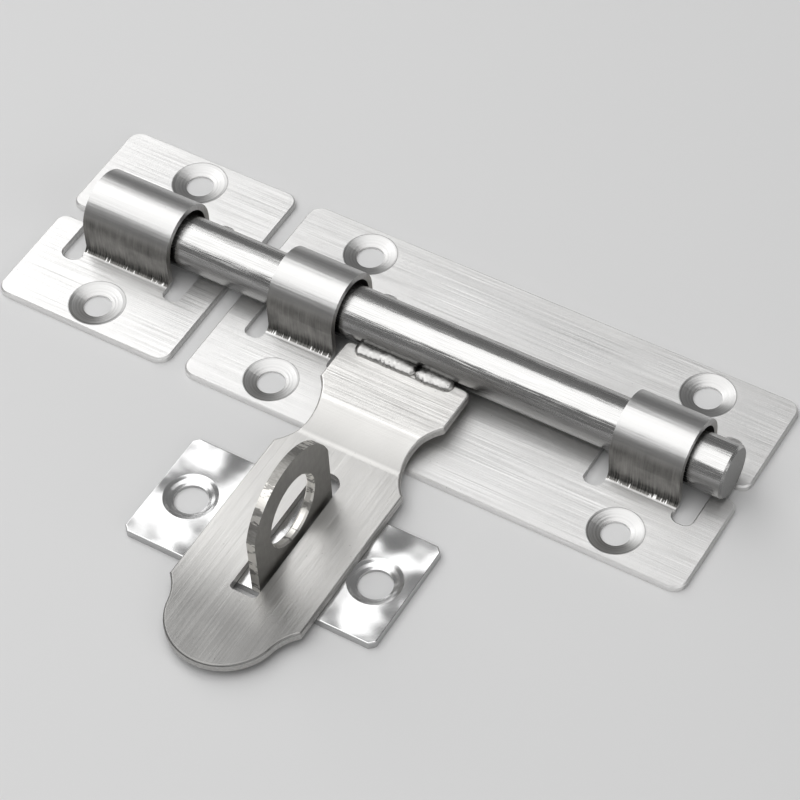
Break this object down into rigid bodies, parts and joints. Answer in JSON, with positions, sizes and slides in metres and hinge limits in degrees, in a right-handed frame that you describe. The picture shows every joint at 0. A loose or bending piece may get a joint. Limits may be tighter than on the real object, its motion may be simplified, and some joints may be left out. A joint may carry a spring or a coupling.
{
  "type": "door bolt",
  "caption": "Round sliding door bolt in pressed straps, with a slotted hasp welded to its side that drops over a padlock eye on a separate staple plate.",
  "frame": {"origin": "on the door's face, under the bolt's axis, at the middle of the base plate", "axes": "+X along the bolt, the way it is drawn back; +Z out of the door's face; the hasp and the staple are on the -Y side"},
  "size_m": [0.1403, 0.0982, 0.0231],
  "materials": {
    "plate_steel": "stainless sheet, brushed along the bolt",
    "keeper_steel": "stainless sheet, brushed along the bolt",
    "bar_steel": "stainless bar, drawn and brushed along its length",
    "hasp_steel": "stainless sheet, brushed along the blade and across the neck",
    "weld_metal": "bright, smooth weld",
    "staple_steel": "bright, nearly mirror-like stainless sheet",
    "eye_steel": "dull face, bright sheared edge"
  },
  "bodies": {
    "fixed": {"base_plate": "plate_steel", "keeper_plate": "keeper_steel", "staple_plate": "staple_steel", "padlock_eye": "eye_steel"},
    "bolt": {"bolt_rod": "bar_steel"},
    "hasp": {"hasp_plate": "hasp_steel", "weld_bead_long": "weld_metal", "weld_bead_short": "weld_metal"}
  },
  "joints": [
    {"name": "bolt_slide", "type": "slide", "parent": "fixed", "child": "bolt", "axis": [1, 0, 0], "range_m": [0, 0.0197]},
    {"name": "hasp_lift", "type": "hinge", "parent": "bolt", "child": "hasp", "pos_m": [0, 0, 0.0063], "axis": [-1, 0, 0], "range_deg": [0, 187]}
  ],
  "couplings": [
    {"joint": "bolt_slide", "follows": "hasp_lift", "m_per_rad": 0.00603}
  ]
}
